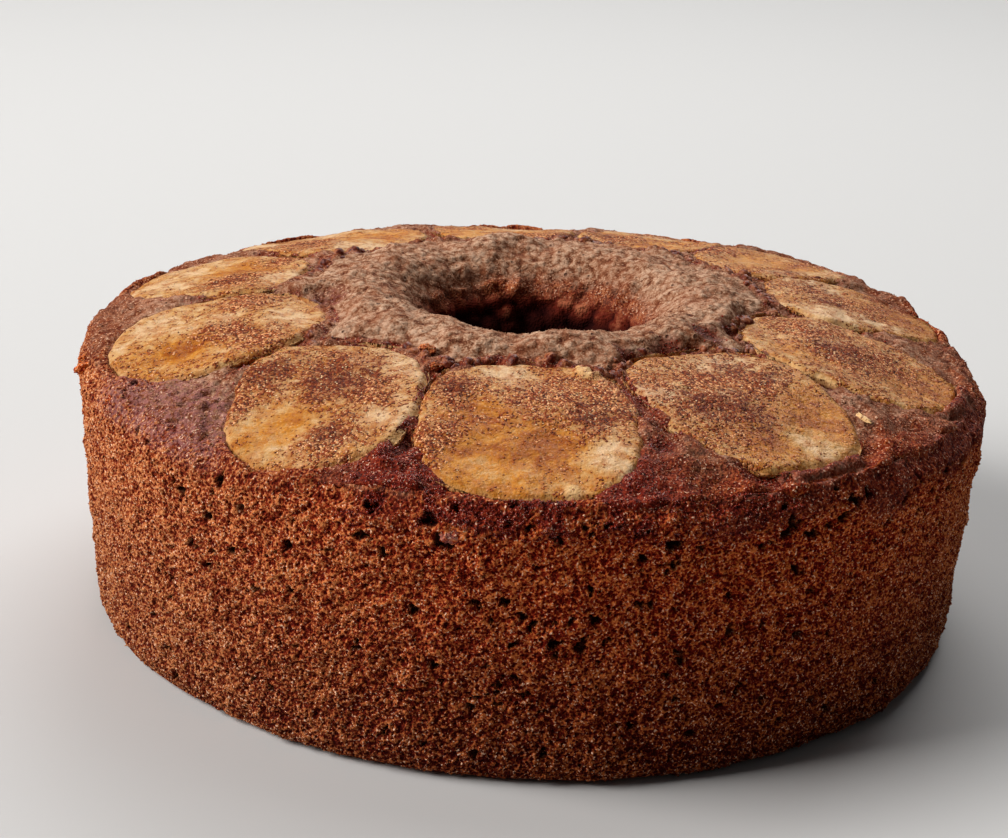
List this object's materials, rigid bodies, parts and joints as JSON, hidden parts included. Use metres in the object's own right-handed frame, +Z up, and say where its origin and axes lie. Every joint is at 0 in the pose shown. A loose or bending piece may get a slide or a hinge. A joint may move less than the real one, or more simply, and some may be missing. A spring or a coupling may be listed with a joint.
{
  "type": "fruit ring cake",
  "caption": "Round ring cake with a domed crust, a funnel-mouthed centre hole and a wreath of cinnamon-dusted fruit slices baked into its top.",
  "frame": {"origin": "centre of the flat base, on the axis of the hole", "axes": "+Z up out of the base along the hole, -Y towards the front as pictured, +X to the viewer's right"},
  "size_m": [0.2404, 0.2402, 0.0864],
  "materials": {
    "crumb": "matte, porous baked crumb under a dull brown crust",
    "fruit": "satin cooked fruit flesh, dusted with ground spice"
  },
  "bodies": {
    "root": {"cake_body": "crumb", "fruit_slice_01": "fruit", "fruit_slice_02": "fruit", "fruit_slice_03": "fruit", "fruit_slice_04": "fruit", "fruit_slice_05": "fruit", "fruit_slice_06": "fruit", "fruit_slice_07": "fruit", "fruit_slice_08": "fruit", "fruit_slice_09": "fruit", "fruit_slice_10": "fruit", "fruit_slice_11": "fruit"}
  },
  "joints": []
}
